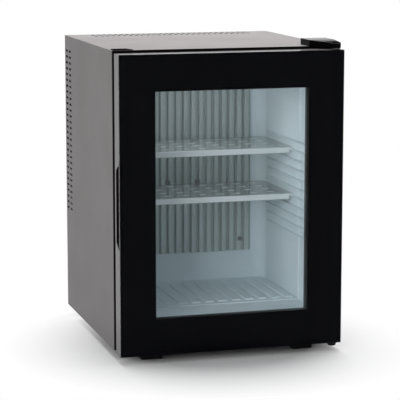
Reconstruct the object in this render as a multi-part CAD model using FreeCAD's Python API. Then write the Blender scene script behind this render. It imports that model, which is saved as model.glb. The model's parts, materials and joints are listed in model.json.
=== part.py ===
import FreeCAD, Part
import math
import os

from FreeCAD import Vector

# A silent hotel minibar with a glazed door, in millimetres.
# The origin is on the floor under the middle of the fridge. The door faces -Y and +Z is up.
# Left and right are those of a person who stands in front of the door.

# Overall
overall_width = 402.0
overall_depth = 436.0
cabinet_height = 521.0
ground_clearance = 16.0
overrun = 5.0  # how far a cutting shape reaches past what it cuts
fit_gap = 0.3  # air between a loose piece and its seat
upright_share = 0.999  # of its length that an upright edge rises
running_gap = 0.05  # air between a shaft and its bore

# Sheet-metal cabinet and the thickness of its walls, from outside to liner
sheet = 1.0
bend_radius = 3.0
front_flange = 30.0
rear_return = 18.0
side_wall = 37.0
floor_wall = 53.0
ceiling_wall = 40.0
back_wall = 36.0
machine_space = 64.0  # depth of the ventilated space behind the insulation

# Vent slots along the rear edges
vent_count = 28
vent_length = 18.0
vent_width = 4.6
vent_pitch = 11.1
vent_rear_margin = 9.0
vent_row_gap = 9.6
side_vent_drop = 28.0  # highest side slot below the top of the cabinet

# Black edge strips and the cap over the unused hinge holes
strip_height = 7.0
strip_depth = 2.0
side_strip_width = 8.0
side_strip_thickness = 1.0
side_strip_margin = 0.5
cap_length = 34.0
cap_depth = 22.0
cap_thickness = 1.2
cap_margin = 4.0
cap_corner = 8.0

# Liner
liner_thickness = 2.0
liner_corner = 22.0
mouth_step = 1.5
mouth_depth = 78.0
rail_count = 11
rail_pitch = 17.1
rail_rise = 118.8  # top of the lowest rail above the liner floor
rail_height = 2.0  # at the tip of a rail
rail_reach = 6.0
rail_taper = 4.0  # slope of the underside
rail_front_setback = 34.0
rail_rear_gap = 33.0
floor_rib_count = 13
floor_rib_share = 0.66  # width of a rib, of the pitch
floor_rib_height = 2.5
floor_rib_taper = 1.5
floor_rib_gap = 14.0

# Shelves
shelf_gap = 1.0  # air beside a shelf, at the liner walls
shelf_depth = 162.0
shelf_rear_gap = 3.0
shelf_plate = 3.0
shelf_lip = 11.0
shelf_lip_thickness = 3.0
shelf_lip_round = 1.5
shelf_corner = 14.0
shelf_slot_columns = 9
shelf_slot_rows = 4
shelf_slot_length = 14.0
shelf_slot_width = 7.0
shelf_slot_side_gap = 16.0  # from the side of a shelf to its slots
shelf_slot_row_pitch_share = 0.222  # of the depth of a shelf
rails_below_lower_shelf_count = 4
rails_below_upper_shelf_count = 9

# Cooling plate, its screws and the temperature sensor
plate_web = 2.5
plate_floor_gap = 56.0
plate_ceiling_gap = 7.0
plate_rib_count = 18
plate_side_gap = 28.0  # from the liner's side walls
plate_rib_share = 0.7  # width of a rib, of the pitch
plate_rib_reach = 6.5
plate_rib_round = 3.0
screw_radius = 2.0
screw_head_radius = 4.5
screw_head_height = 2.2
screw_hole_gap = 0.2
plate_screw_length = 26.0
plate_screw_inset_x = 22.0
plate_screw_inset_z = 23.0
block_screw_spacing = 58.0
sensor_length = 32.0
sensor_drop = 24.0

# Thermoelectric cooler behind the plate
block_side = 74.0
block_rise = 194.0  # middle of the cold block above the liner floor
module_side = 40.0
module_thickness = 4.0
hot_block_width = 104.0
hot_block_height = 74.0
hot_block_depth = 24.0
hot_screw_spacing_x = 62.0
hot_screw_length = 34.0
pipe_radius = 4.0
pipe_exit_gap = 4.0  # straight run of an inner pipe outside the hot block
pipe_spacing = 28.0  # between the upper and the lower pipe bores of the hot block
pipe_plug = 44.0  # solid middle of the hot block, between facing bores
pipe_side_gap = 55.0  # outer pipes from the sides of the cabinet
inner_pipe_share = 0.59  # place of the inner pipes, of the outer ones
pipe_end_drop = 18.0
fin_count = 9
fin_block_gap = 59.0  # lowest fin above the hot block
fin_thickness = 0.8
fin_depth = 46.0
fin_hole_gap = 0.1
fin_side_gap = 29.0  # fins from the sides of the cabinet
fin_wall_gap = 3.0
fin_top_drop = 26.0
fin_bracket_sheet = 1.2
fin_bracket_foot = 14.0
fin_bracket_margin = 8.0

# Power supply box and its cord gland
supply_width = 112.0
supply_depth = 44.0
supply_height = 86.0
supply_wall = 2.0
supply_side_gap = 49.0  # the box from the side of the cabinet
supply_rise = 44.0
supply_lid = 2.5
board_thickness = 1.6
board_margin = 6.0
board_standoff = 8.0
standoff_radius = 3.0
gland_length = 20.0
gland_radius = 7.0
gland_bore_radius = 3.6
gland_collar = 3.0
gland_collar_radius = 10.0

# Leads from the module to the supply box
lead_radius = 1.2
lead_spacing = 24.0  # at the module
lead_entry_spacing = 10.0  # at the supply box
lead_run = 20.0  # straight run below the hot block
lead_entry_run = 20.0
lead_bend = 10.0

# Lamp and thermostat housing under the liner ceiling
lamp_width = 104.0
lamp_depth = 64.0
lamp_height = 22.0
lamp_wall = 2.0
lamp_setback = 100.0
lamp_bevel = 5.0
lens_length = 46.0
lens_width = 24.0
lens_offset = 17.0
led_board_thickness = 1.6
led_board_margin = 2.5
led_count = 3
led_side = 4.0
led_height = 1.6
knob_radius = 13.0
knob_disc = 3.0
knob_grip_height = 7.0
knob_grip_width = 5.0
knob_offset = 32.0
knob_shaft_radius = 3.0
knob_shaft_length = 9.0
knob_mark_width = 1.4
knob_mark_depth = 0.6

# Door
door_depth = 35.0
door_drop = 2.0  # door bottom below the cabinet bottom
door_head_drop = 3.5  # door top below the cabinet top
stile_width = 60.0
glass_thickness = 4.0
glass_bevel = 1.2
print_thickness = 0.3
border_width = 63.5
spacer_depth = 11.7
spacer_width = 9.0
inner_pane_cover = 16.0
inner_pane_thickness = 4.0
glazing_gap = 0.6

# Door gasket
gasket_gap = 17.0  # door to cabinet
gasket_inset = 12.0
gasket_width = 18.0
groove_width = 4.0
groove_depth = 6.0
dart_gap = 0.2
magnet_width = 11.0
magnet_thickness = 3.0
magnet_cover = 1.6
magnet_end_gap = 4.0
gasket_foot_share = 0.17  # inset of the gasket's foot, of its width
gasket_waist_share = 0.3
gasket_foot_rise_share = 0.18  # heights along the gasket's section, of its depth
gasket_waist_rise_share = 0.32
gasket_neck_rise_share = 0.44
gasket_head_rise_share = 0.58

# Finger pull in the free edge of the door
pull_inset = 6.4
pull_length = 150.0
pull_rear_length = 126.0
pull_width = 21.4
pull_depth = 15.0
pull_wall = 1.6

# Hinges
hinge_inset_x = 12.0
hinge_inset_y = 18.0
pin_radius = 4.0
pin_end_gap = 2.0
bush_radius = 6.5
bush_flange_radius = 9.0
bush_flange = 1.5
bush_depth = 18.0
bracket_sheet = 2.5
bracket_nose_radius = 8.0
bracket_width = 42.0
lower_bracket_width = 36.0
bracket_length = 42.0  # reach of a bracket behind the cabinet front
bracket_step = 3.0
bracket_screw_length = 14.0
bracket_screw_inset = 10.0
cover_height = 11.0
cover_slope = 3.4
cover_wall = 1.8
cover_skirt = 1.0  # how far the cover's nose hangs below the cabinet top
cover_gap = 2.0

# Feet
foot_width = 35.0
foot_length = 58.0
foot_setback = 30.0  # front of a foot behind the front of the door
foot_toe_gap = 2.5
foot_chamfer = 3.0
foot_side_gap = 45.0  # a foot from the side of the cabinet
rear_foot_radius = 15.0
rear_foot_base_radius = 12.0
rear_foot_side_gap = 36.0
crossbar_depth = 30.0
crossbar_height = 14.0
crossbar_sheet = 1.5

# Worked out from the sizes above
half_width = overall_width / 2
front = -overall_depth / 2
rear = overall_depth / 2
door_back = front + door_depth
cabinet_front = door_back + gasket_gap
cabinet_bottom = ground_clearance
cabinet_top = cabinet_bottom + cabinet_height
flange_half = half_width - front_flange
inside_half = half_width - sheet
bulkhead_rear = rear - machine_space
bulkhead_front = bulkhead_rear - sheet
liner_half = half_width - side_wall
liner_back = bulkhead_rear - back_wall
liner_floor = cabinet_bottom + floor_wall
liner_ceiling = cabinet_top - ceiling_wall
mouth_back = cabinet_front + mouth_depth
door_bottom = cabinet_bottom - door_drop
door_top = cabinet_top - door_head_drop
door_middle = (door_bottom + door_top) / 2
hinge_x = half_width - hinge_inset_x
hinge_y = front + hinge_inset_y
print_front = front + glass_thickness
frame_front = print_front + print_thickness
pane_front = frame_front + spacer_depth
pane_back = pane_front + inner_pane_thickness
pane_inset = border_width - inner_pane_cover
floor_rib_pitch = liner_half * 2 / floor_rib_count
plate_half = liner_half - plate_side_gap
plate_rib_pitch = plate_half * 2 / plate_rib_count
sensor_radius = plate_rib_pitch * (1 - plate_rib_share) / 2 - fit_gap
plate_bottom = liner_floor + plate_floor_gap
plate_top = liner_ceiling - plate_ceiling_gap
plate_front = liner_back - plate_web - plate_rib_reach
block_z = liner_floor + block_rise
module_back = bulkhead_rear + module_thickness
hot_block_back = module_back + hot_block_depth
pipe_y = module_back + hot_block_depth / 2
fin_top = cabinet_top - fin_top_drop
fin_low = block_z + hot_block_height / 2 + fin_block_gap
fin_pitch = (fin_top - fin_low) / (fin_count - 1)
fin_span = (half_width - fin_side_gap) * 2
outer_pipe_offset = half_width - pipe_side_gap
inner_pipe_offset = outer_pipe_offset * inner_pipe_share
pipe_bend = inner_pipe_offset - hot_block_width / 2 - pipe_exit_gap
supply_back = bulkhead_rear + supply_depth
supply_offset = half_width - supply_side_gap - supply_width / 2
supply_bottom = cabinet_bottom + supply_rise
gland_y = bulkhead_rear + supply_depth / 2
lamp_front = cabinet_front + lamp_setback
lamp_back = lamp_front + lamp_depth
lamp_bottom = liner_ceiling - lamp_height
lamp_y = (lamp_front + lamp_back) / 2
cover_half_nose = bracket_nose_radius + cover_gap
foot_offset = half_width - foot_side_gap - foot_width / 2
rear_foot_offset = half_width - rear_foot_side_gap - rear_foot_radius
lower_bracket_top = door_bottom - bush_flange - fit_gap
lower_bracket_bottom = lower_bracket_top - bracket_sheet
bracket_rear = cabinet_front + bracket_length
up = Vector(0, 0, 1)


def span(middle, length):
    return (middle - length / 2, middle + length / 2)


def both(half):
    return (-half, half)


def row(middle, pitch, count):
    first = middle - pitch * (count - 1) / 2
    return [first + pitch * index for index in range(count)]


def block(x, y, z):
    corner = Vector(x[0], y[0], z[0])
    return Part.makeBox(x[1] - x[0], y[1] - y[0], z[1] - z[0], corner)


def rod(radius, start, end):
    axis = end.sub(start)
    return Part.makeCylinder(radius, axis.Length, start, axis)


def prism(points, direction):
    outline = Part.makePolygon(points + points[:1])
    return Part.Face(outline).extrude(direction)


def fuse(shapes):
    return shapes[0].multiFuse(shapes[1:]).removeSplitter()


def cut(shape, tools):
    return shape.cut(Part.makeCompound(tools))


def mirrored(shape):
    return shape.mirror(Vector(0, 0, 0), Vector(1, 0, 0))


def upright_edges(shape, test):
    def is_upright(edge):
        ends = [vertex.Point for vertex in edge.Vertexes]
        return len(ends) == 2 and abs(ends[1].sub(ends[0]).normalize().z) > upright_share

    return [edge for edge in shape.Edges if is_upright(edge) and test(edge.CenterOfMass)]


def rounded_back(x, y, z, radius):
    # A block with its two rear upright edges rounded
    body = block(x, y, z)
    return body.makeFillet(radius, upright_edges(body, lambda point: point.y > y[1] - overrun))


def rounded_path(points, radius):
    # Straight runs joined by tangent arcs
    edges = []
    start = points[0]
    for before, corner, after in zip(points, points[1:], points[2:]):
        back = before.sub(corner).normalize()
        ahead = after.sub(corner).normalize()
        half_angle = back.getAngle(ahead) / 2
        tangent = radius / math.tan(half_angle)
        middle_way = back.add(ahead).normalize()
        to_arc = radius / math.sin(half_angle) - radius
        arc_start = corner.add(Vector(back).multiply(tangent))
        arc_end = corner.add(Vector(ahead).multiply(tangent))
        arc_middle = corner.add(Vector(middle_way).multiply(to_arc))
        edges.append(Part.LineSegment(start, arc_start).toShape())
        edges.append(Part.Arc(arc_start, arc_middle, arc_end).toShape())
        start = arc_end
    edges.append(Part.LineSegment(start, points[-1]).toShape())
    return Part.Wire(edges)


def folded_sheet(points, direction):
    # Sheet metal bent along a path, on the inner side of its bends
    face = rounded_path(points, bend_radius).makeOffset2D(sheet, fill=True, openResult=True)
    return face.extrude(direction)


def screw(head_base, direction, length):
    # A pan-head screw: the head stands on head_base and the shank goes the other way
    tip = head_base.sub(Vector(direction).multiply(length))
    head_top = head_base.add(Vector(direction).multiply(screw_head_height))
    return fuse([rod(screw_radius, tip, head_base), rod(screw_head_radius, head_base, head_top)])


def screw_hole(head_base, direction, length):
    tip = head_base.sub(Vector(direction).multiply(length + screw_hole_gap))
    mouth = head_base.add(Vector(direction).multiply(overrun))
    return rod(screw_radius + screw_hole_gap, tip, mouth)


def door_ring(outer_inset, inner_inset, y):
    # A ring that follows the outline of the door, between two insets from its edges
    def plate(inset, y):
        z = (door_bottom + inset, door_top - inset)
        return block(both(half_width - inset), y, z)

    return plate(outer_inset, y).cut(plate(inner_inset, (y[0] - overrun, y[1] + overrun)))


def side_panel():
    # The left panel: a sheet with a front flange, a rear return and two columns of slots
    path = [
        Vector(-flange_half, cabinet_front, cabinet_bottom),
        Vector(-half_width, cabinet_front, cabinet_bottom),
        Vector(-half_width, rear, cabinet_bottom),
        Vector(-half_width + rear_return, rear, cabinet_bottom),
    ]
    panel = folded_sheet(path, Vector(0, 0, cabinet_height))
    wall = (-half_width - overrun, -half_width + sheet + overrun)
    last = rear - vent_rear_margin
    columns = [(last - vent_length, last)]
    columns.append((columns[0][0] - vent_row_gap - vent_length, columns[0][0] - vent_row_gap))
    highest = cabinet_top - side_vent_drop
    rows = [span(highest - vent_pitch * index, vent_width) for index in range(vent_count)]
    return cut(panel, [block(wall, y, z) for y in columns for z in rows])


def corner_notches(y):
    # Room for the front flanges or rear returns of the side panels
    def notch(half):
        x = (half, half_width + overrun)
        return block(x, y, (cabinet_bottom - overrun, cabinet_top + overrun))

    half = flange_half if y[1] < 0 else half_width - rear_return
    return [notch(half), mirrored(notch(half))]


def top_panel():
    # The front edge is stepped back to take the edge strip
    ledge = cabinet_top - strip_height
    step = cabinet_front + strip_depth
    outer = [
        (cabinet_front, cabinet_top - front_flange),
        (cabinet_front, ledge),
        (step, ledge),
        (step, cabinet_top),
        (rear, cabinet_top),
        (rear, cabinet_top - rear_return),
    ]
    inner = [
        (rear - sheet, cabinet_top - rear_return),
        (rear - sheet, cabinet_top - sheet),
        (step + sheet, cabinet_top - sheet),
        (step + sheet, ledge - sheet),
        (cabinet_front + sheet, ledge - sheet),
        (cabinet_front + sheet, cabinet_top - front_flange),
    ]
    points = [Vector(-inside_half, y, z) for y, z in outer + inner]
    panel = prism(points, Vector(inside_half * 2, 0, 0))
    through = (cabinet_top - sheet - overrun, cabinet_top + overrun)
    last = rear - vent_rear_margin
    rows = [(last - vent_length, last)]
    rows.append((rows[0][0] - vent_row_gap - vent_length, rows[0][0] - vent_row_gap))
    columns = [span(x, vent_width) for x in row(0, vent_pitch, vent_count)]
    slots = [block(x, y, through) for y in rows for x in columns]
    notches = corner_notches((cabinet_front - overrun, cabinet_front + bend_radius))
    notches += corner_notches((rear - bend_radius, rear + overrun))
    return cut(panel, slots + notches + upper_screw_holes())


def edge_strip():
    y = (cabinet_front, cabinet_front + strip_depth)
    return block(both(flange_half), y, (cabinet_top - strip_height, cabinet_top))


def side_edge_strip():
    # On the front flange of the left side panel, outside the gasket, with an arm to the top strip
    left = -half_width + side_strip_margin
    y = (cabinet_front - side_strip_thickness, cabinet_front)
    upright = block((left, left + side_strip_width), y, (cabinet_bottom, cabinet_top))
    arm = block((left, -flange_half), y, (cabinet_top - strip_height, cabinet_top))
    return fuse([upright, arm])


def base_panel():
    floor = block(
        both(inside_half), (cabinet_front, bulkhead_rear), (cabinet_bottom, cabinet_bottom + sheet)
    )
    flange = block(
        both(flange_half),
        (cabinet_front, cabinet_front + sheet),
        (cabinet_bottom, cabinet_bottom + front_flange),
    )
    notches = corner_notches((cabinet_front - overrun, cabinet_front + bend_radius))
    return cut(fuse([floor, flange]), notches + lower_screw_holes())


def block_opening(gap):
    # The way for the cold block through liner, insulation and bulkhead
    side = block_side + gap * 2
    return block(span(0, side), (plate_front, module_back), span(block_z, side))


def rear_bulkhead():
    z = (cabinet_bottom + sheet, cabinet_top - sheet)
    plate = block(both(inside_half), (bulkhead_front, bulkhead_rear), z)
    return cut(plate, [block_opening(fit_gap)])


def rear_crossbar():
    # A channel across the rear that carries the rear feet
    y = (rear - bend_radius - crossbar_depth, rear - bend_radius)
    z = (cabinet_bottom, cabinet_bottom + crossbar_height)
    inside_y = (y[0] + crossbar_sheet, y[1] - crossbar_sheet)
    inside_z = (z[0] + crossbar_sheet, z[1] + overrun)
    bar = block(both(inside_half), y, z)
    return bar.cut(block(both(inside_half + overrun), inside_y, inside_z))


def cavity(grow, reach):
    # The space inside the liner, grown by the liner's thickness for its outer side
    back = liner_back + grow
    z = (liner_floor - grow, liner_ceiling + grow)
    y = (cabinet_front - reach, back)
    main = rounded_back(both(liner_half + grow), y, z, liner_corner + grow)
    wide = mouth_step + grow
    mouth_z = (liner_floor - wide, liner_ceiling + wide)
    mouth_y = (cabinet_front - reach, mouth_back + grow)
    return fuse([main, block(both(liner_half + wide), mouth_y, mouth_z)])


def shelf_rails():
    # Tapered rails on the left wall, with a free end at the back
    rails = []
    wall = -liner_half - mouth_step - liner_thickness
    tip = -liner_half + rail_reach
    y = cabinet_front + rail_front_setback
    length = liner_back - rail_rear_gap - y
    for index in range(rail_count):
        top = liner_floor + rail_rise + rail_pitch * index
        bottom = top - rail_height
        outline = [(wall, top), (tip, top), (tip, bottom), (wall, bottom - rail_taper)]
        points = [Vector(x, y, z) for x, z in outline]
        rails.append(prism(points, Vector(0, length, 0)))
    return rails


def floor_ribs():
    ribs = []
    y = mouth_back + floor_rib_gap
    length = liner_back - floor_rib_gap * 2 - y
    half = floor_rib_pitch * floor_rib_share / 2
    bottom = liner_floor - mouth_step - liner_thickness
    top = liner_floor + floor_rib_height
    for x in row(0, floor_rib_pitch, floor_rib_count):
        outline = [
            (x - half, bottom),
            (x + half, bottom),
            (x + half, liner_floor),
            (x + half - floor_rib_taper, top),
            (x - half + floor_rib_taper, top),
            (x - half, liner_floor),
        ]
        points = [Vector(across, y, z) for across, z in outline]
        ribs.append(prism(points, Vector(0, length, 0)))
    return ribs


def inner_liner():
    skin = cavity(liner_thickness, 0).cut(cavity(0, overrun))
    left = shelf_rails()
    raised = Part.makeCompound(left + [mirrored(rail) for rail in left] + floor_ribs())
    raised = raised.common(cavity(liner_thickness, 0))
    mouth = mouth_step + liner_thickness
    x = liner_half + mouth
    z = (liner_floor - mouth, liner_ceiling + mouth)
    y = (cabinet_front, cabinet_front + sheet)
    outer_z = (cabinet_bottom + front_flange, cabinet_top - front_flange)
    flange = block(both(flange_half), y, outer_z)
    flange = flange.cut(block(both(x), (y[0] - overrun, y[1] + overrun), z))
    liner = fuse([skin, flange] + raised.Solids)
    return cut(liner, [block_opening(fit_gap)] + plate_screw_holes())


def insulation_foam():
    y = (cabinet_front + sheet, bulkhead_front)
    z = (cabinet_bottom + sheet, cabinet_top - sheet)
    foam = block(both(inside_half), y, z)
    corners = upright_edges(foam, lambda point: point.y < 0)
    foam = foam.makeFillet(bend_radius - sheet, corners)
    step = block(
        both(half_width),
        (cabinet_front - overrun, cabinet_front + strip_depth + sheet),
        (cabinet_top - strip_height - sheet, cabinet_top + overrun),
    )
    holes = plate_screw_holes() + upper_screw_holes() + lower_screw_holes()
    return cut(foam, [cavity(liner_thickness, overrun), block_opening(fit_gap), step] + holes)


def blanking_cap():
    # A thin cap with one slanted corner over the unused hinge holes
    left = -half_width + cap_margin
    near = cabinet_front + cap_margin
    outline = [
        (left, near),
        (left + cap_length, near),
        (left + cap_length - cap_corner, near + cap_depth),
        (left, near + cap_depth),
    ]
    points = [Vector(x, y, cabinet_top) for x, y in outline]
    return prism(points, Vector(0, 0, cap_thickness))


def shelf(rails_below):
    # A slotted plate that lies on two rails, with a skirt between them
    under = liner_floor + rail_rise + rail_pitch * rails_below + fit_gap
    top = under + shelf_plate
    bottom = top - shelf_lip
    half = liner_half - shelf_gap
    skirt_half = half - rail_reach
    back = plate_front - shelf_rear_gap
    y = (back - shelf_depth, back)
    wall = shelf_lip_thickness
    corner = shelf_corner - rail_reach
    plate = rounded_back(both(half), y, (under, top), shelf_corner)
    skirt = rounded_back(both(skirt_half), y, (bottom, under), corner)
    inside_y = (y[0] + wall, y[1] - wall)
    hollow = rounded_back(both(skirt_half - wall), inside_y, (bottom - overrun, under), corner - wall)
    slot_pitch = (half - shelf_slot_side_gap) * 2 / shelf_slot_columns
    columns = row(0, slot_pitch, shelf_slot_columns)
    row_pitch = shelf_depth * shelf_slot_row_pitch_share
    rows = row((y[0] + y[1]) / 2, row_pitch, shelf_slot_rows)
    z = (bottom, top + overrun)
    slots = [
        block(span(x, shelf_slot_length), span(middle, shelf_slot_width), z)
        for x in columns
        for middle in rows
    ]
    body = cut(fuse([plate, skirt.cut(hollow)]), slots)
    return body.makeFillet(shelf_lip_round, front_edges(body, y[0], (bottom, top)))


def front_edges(shape, y, heights):
    # The level edges of a front face
    def is_level(edge):
        ends = [vertex.Point for vertex in edge.Vertexes]
        level = any(all(abs(end.z - z) < fit_gap for end in ends) for z in heights)
        return level and all(abs(end.y - y) < fit_gap for end in ends)

    return [edge for edge in shape.Edges if is_level(edge)]


def plate_screw_places():
    x = plate_half - plate_screw_inset_x
    low = plate_bottom + plate_screw_inset_z
    high = plate_top - plate_screw_inset_z
    corners = [(side * x, z) for side in (-1, 1) for z in (low, high)]
    middle = [(side * block_screw_spacing / 2, block_z) for side in (-1, 1)]
    return [Vector(x, plate_front, z) for x, z in corners + middle]


def plate_screw_holes():
    ahead = Vector(0, -1, 0)
    return [screw_hole(place, ahead, plate_screw_length) for place in plate_screw_places()]


def plate_screws():
    ahead = Vector(0, -1, 0)
    return [screw(place, ahead, plate_screw_length) for place in plate_screw_places()]


def cooling_plate():
    # An extruded plate with round-edged upright ribs
    height = plate_top - plate_bottom
    web = block(both(plate_half), (liner_back - plate_web, liner_back), (plate_bottom, plate_top))
    ribs = []
    for x in row(0, plate_rib_pitch, plate_rib_count):
        left, right = span(x, plate_rib_pitch * plate_rib_share)
        root = liner_back - plate_web
        outline = [(left, root), (left, plate_front), (right, plate_front), (right, root)]
        points = [Vector(across, y, plate_bottom) for across, y in outline]
        path = rounded_path(points, plate_rib_round)
        closing = Part.LineSegment(points[-1], points[0]).toShape()
        face = Part.Face(Part.Wire(path.Edges + [closing]))
        ribs.append(face.extrude(Vector(0, 0, height)))
    return cut(fuse([web] + ribs), plate_screw_holes())


def temperature_sensor():
    top = Vector(0, liner_back - plate_web - sensor_radius, plate_top - sensor_drop)
    return rod(sensor_radius, top.sub(Vector(0, 0, sensor_length)), top)


def hot_screw_places():
    return [Vector(side * hot_screw_spacing_x / 2, hot_block_back, block_z) for side in (-1, 1)]


def hot_screw_holes():
    back = Vector(0, 1, 0)
    return [screw_hole(place, back, hot_screw_length) for place in hot_screw_places()]


def hot_screws():
    back = Vector(0, 1, 0)
    return [screw(place, back, hot_screw_length) for place in hot_screw_places()]


def cold_block():
    y = (liner_back, bulkhead_rear)
    solid = block(span(0, block_side), y, span(block_z, block_side))
    return cut(solid, plate_screw_holes() + hot_screw_holes())


def peltier_module():
    y = (bulkhead_rear, module_back)
    return block(span(0, module_side), y, span(block_z, module_side))


def pipe_path(offset, height):
    start = Vector(pipe_plug / 2, pipe_y, height)
    corner = Vector(offset, pipe_y, height)
    end = Vector(offset, pipe_y, cabinet_top - pipe_end_drop)
    return rounded_path([start, corner, end], pipe_bend)


def heat_pipe(offset, height):
    path = pipe_path(offset, height)
    start = Vector(pipe_plug / 2, pipe_y, height)
    section = Part.Wire(Part.makeCircle(pipe_radius, start, Vector(1, 0, 0)))
    return path.makePipeShell([section], True, False)


def heat_pipes():
    right = [
        heat_pipe(inner_pipe_offset, block_z + pipe_spacing / 2),
        heat_pipe(outer_pipe_offset, block_z - pipe_spacing / 2),
    ]
    return right + [mirrored(pipe) for pipe in right]


def hot_block():
    y = (module_back, hot_block_back)
    solid = block(span(0, hot_block_width), y, span(block_z, hot_block_height))
    bores = []
    for height in (block_z - pipe_spacing / 2, block_z + pipe_spacing / 2):
        start = Vector(pipe_plug / 2, pipe_y, height)
        end = Vector(hot_block_width / 2 + overrun, pipe_y, height)
        bores.append(rod(pipe_radius, start, end))
    return cut(solid, bores + [mirrored(bore) for bore in bores] + hot_screw_holes())


def condenser_fins():
    y = (bulkhead_rear + fin_wall_gap, bulkhead_rear + fin_wall_gap + fin_depth)
    offsets = [-outer_pipe_offset, -inner_pipe_offset, inner_pipe_offset, outer_pipe_offset]
    fins = []
    for index in range(fin_count):
        z = fin_top - fin_pitch * index
        fin = block(span(0, fin_span), y, (z - fin_thickness, z))
        holes = [
            rod(
                pipe_radius + fin_hole_gap,
                Vector(offset, pipe_y, z - fin_thickness - overrun),
                Vector(offset, pipe_y, z + overrun),
            )
            for offset in offsets
        ]
        fins.append(cut(fin, holes))
    return fins


def fin_brackets():
    # Angles at both ends of the fin stack, screwed to the bulkhead
    edge = fin_span / 2
    low = fin_low - fin_thickness - fin_bracket_margin
    z = (low, fin_top + fin_bracket_margin)
    y = (bulkhead_rear, bulkhead_rear + fin_wall_gap + fin_depth)
    web = block((edge, edge + fin_bracket_sheet), y, z)
    foot = block(
        (edge, edge + fin_bracket_foot), (bulkhead_rear, bulkhead_rear + fin_bracket_sheet), z
    )
    bracket = fuse([web, foot])
    return [bracket, mirrored(bracket)]


def module_lead(side):
    # From the lower edge of the module to the top of the supply box
    x = side * lead_spacing / 2
    y = bulkhead_rear + module_thickness / 2
    entry_x = supply_offset + side * lead_entry_spacing / 2
    entry_z = supply_bottom + supply_height
    start = Vector(x, y, block_z - module_side / 2)
    knee = Vector(x, y, block_z - hot_block_height / 2 - lead_run)
    shoulder = Vector(entry_x, gland_y, entry_z + lead_entry_run)
    end = Vector(entry_x, gland_y, entry_z)
    path = rounded_path([start, knee, shoulder, end], lead_bend)
    section = Part.Wire(Part.makeCircle(lead_radius, start, Vector(0, 0, 1)))
    return path.makePipeShell([section], True, False)


def supply_spans(inset):
    x = span(supply_offset, supply_width - inset * 2)
    z = (supply_bottom + inset, supply_bottom + supply_height - inset)
    return x, z


def supply_box():
    # A moulded box that is open at the back, with posts for the circuit board
    x, z = supply_spans(0)
    inner_x, inner_z = supply_spans(supply_wall)
    floor = bulkhead_rear + supply_wall
    shell = block(x, (bulkhead_rear, supply_back), z)
    shell = shell.cut(block(inner_x, (floor, supply_back + overrun), inner_z))
    mouth = rod(
        gland_radius,
        Vector(supply_offset, gland_y, supply_bottom - overrun),
        Vector(supply_offset, gland_y, supply_bottom + supply_wall + overrun),
    )
    post_x, post_z = supply_spans(supply_wall + board_margin + standoff_radius)
    posts = [
        rod(standoff_radius, Vector(a, floor, b), Vector(a, floor + board_standoff, b))
        for a in post_x
        for b in post_z
    ]
    return fuse([cut(shell, [mouth])] + posts)


def supply_lid_plate():
    x, z = supply_spans(0)
    return block(x, (supply_back, supply_back + supply_lid), z)


def circuit_board():
    x, z = supply_spans(supply_wall + board_margin)
    front_face = bulkhead_rear + supply_wall + board_standoff
    return block(x, (front_face, front_face + board_thickness), z)


def cord_gland():
    # A collared bush through the bottom of the supply box
    centre = Vector(supply_offset, gland_y, supply_bottom)
    bottom = centre.sub(Vector(0, 0, gland_length - supply_wall))
    top = centre.add(Vector(0, 0, supply_wall))
    collar = rod(gland_collar_radius, centre.sub(Vector(0, 0, gland_collar)), centre)
    body = fuse([rod(gland_radius, bottom, top), collar])
    return body.cut(rod(gland_bore_radius, bottom, top))


def lens_spans(gap):
    return span(-lens_offset, lens_length + gap * 2), span(lamp_y, lens_width + gap * 2)


def knob_axis(z):
    return Vector(knob_offset, lamp_y, z)


def lamp_housing():
    # A tapered tray under the ceiling, open at the top
    def tray(inset, bottom, top):
        half = lamp_width / 2 - inset
        y = (lamp_front + inset, lamp_back - inset)
        low_half = half - lamp_bevel
        low_y = (y[0] + lamp_bevel, y[1] - lamp_bevel)
        return Part.makeLoft([level(half, y, top), level(low_half, low_y, bottom)], True, True)

    def level(half, y, z):
        corners = [(-half, y[0]), (half, y[0]), (half, y[1]), (-half, y[1]), (-half, y[0])]
        return Part.makePolygon([Vector(x, depth, z) for x, depth in corners])

    shell = tray(0, lamp_bottom, liner_ceiling)
    shell = shell.cut(tray(lamp_wall, lamp_bottom + lamp_wall, liner_ceiling))
    lens_x, lens_y = lens_spans(fit_gap)
    window = block(lens_x, lens_y, (lamp_bottom - overrun, lamp_bottom + lamp_wall + overrun))
    bore = rod(
        knob_shaft_radius + running_gap,
        knob_axis(lamp_bottom - overrun),
        knob_axis(lamp_bottom + lamp_wall + overrun),
    )
    return cut(shell, [window, bore])


def lamp_lens():
    # A tray-shaped diffuser whose rim lies on the floor of the housing
    x, y = lens_spans(0)
    rim_x, rim_y = lens_spans(led_board_margin)
    seat = lamp_bottom + lamp_wall
    return fuse([block(x, y, (lamp_bottom, seat)), block(rim_x, rim_y, (seat, seat + lamp_wall))])


def led_board():
    # A small board with its lamps, on the rim of the lens
    x, y = lens_spans(led_board_margin)
    seat = lamp_bottom + lamp_wall * 2 + led_height
    board = block(x, y, (seat, seat + led_board_thickness))
    pitch = lens_length / led_count
    places = row(-lens_offset, pitch, led_count)
    lamps = [
        block(span(place, led_side), span(lamp_y, led_side), (seat - led_height, seat))
        for place in places
    ]
    return fuse([board] + lamps)


def thermostat_knob():
    # A disc with a grip bar below it and a shaft into the housing
    seat = lamp_bottom - fit_gap
    disc_bottom = seat - knob_disc
    grip_bottom = disc_bottom - knob_grip_height
    disc = rod(knob_radius, knob_axis(disc_bottom), knob_axis(seat))
    shaft = rod(knob_shaft_radius, knob_axis(seat), knob_axis(seat + knob_shaft_length))
    grip = block(
        span(knob_offset, knob_grip_width),
        span(lamp_y, knob_radius * 2 - knob_grip_width),
        (grip_bottom, disc_bottom),
    )
    mark = block(
        span(knob_offset, knob_mark_width),
        (lamp_y - knob_radius, lamp_y),
        (grip_bottom - overrun, grip_bottom + knob_mark_depth),
    )
    return fuse([disc, shaft, grip]).cut(mark)


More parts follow.
